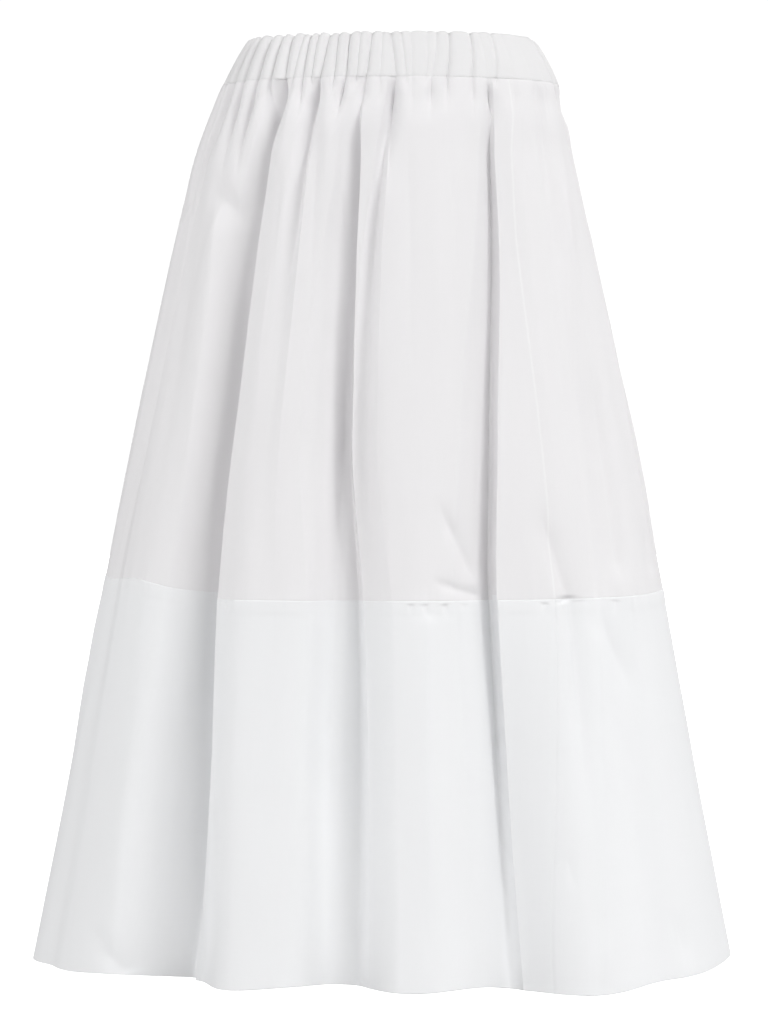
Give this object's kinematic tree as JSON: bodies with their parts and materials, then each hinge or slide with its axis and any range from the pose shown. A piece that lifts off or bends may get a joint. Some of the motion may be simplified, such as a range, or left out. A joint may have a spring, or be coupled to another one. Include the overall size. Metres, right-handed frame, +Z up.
{
  "type": "balloon skirt",
  "caption": "Hollow gathered midi skirt in its worn form: an elastic waistband, a gathered upper tier and a deep lower tier of doubled cloth, open at waist and hem.",
  "frame": {"origin": "centre of the waist, half way up the waistband, where the wearer holds the skirt up", "axes": "+Z up out of the waist, -Y towards the front, +X towards the right side as seen from the front"},
  "size_m": [0.5897, 0.4576, 0.7925],
  "materials": {
    "band_cotton": "matt cotton poplin, gathered over elastic",
    "upper_cotton": "matt cotton poplin, single",
    "lower_cotton": "matt cotton poplin, doubled and more opaque"
  },
  "bodies": {
    "root": {"waistband": "band_cotton", "upper_front": "upper_cotton", "upper_right": "upper_cotton", "upper_left": "upper_cotton", "lower_front": "lower_cotton", "lower_right": "lower_cotton", "lower_left": "lower_cotton"}
  },
  "joints": []
}
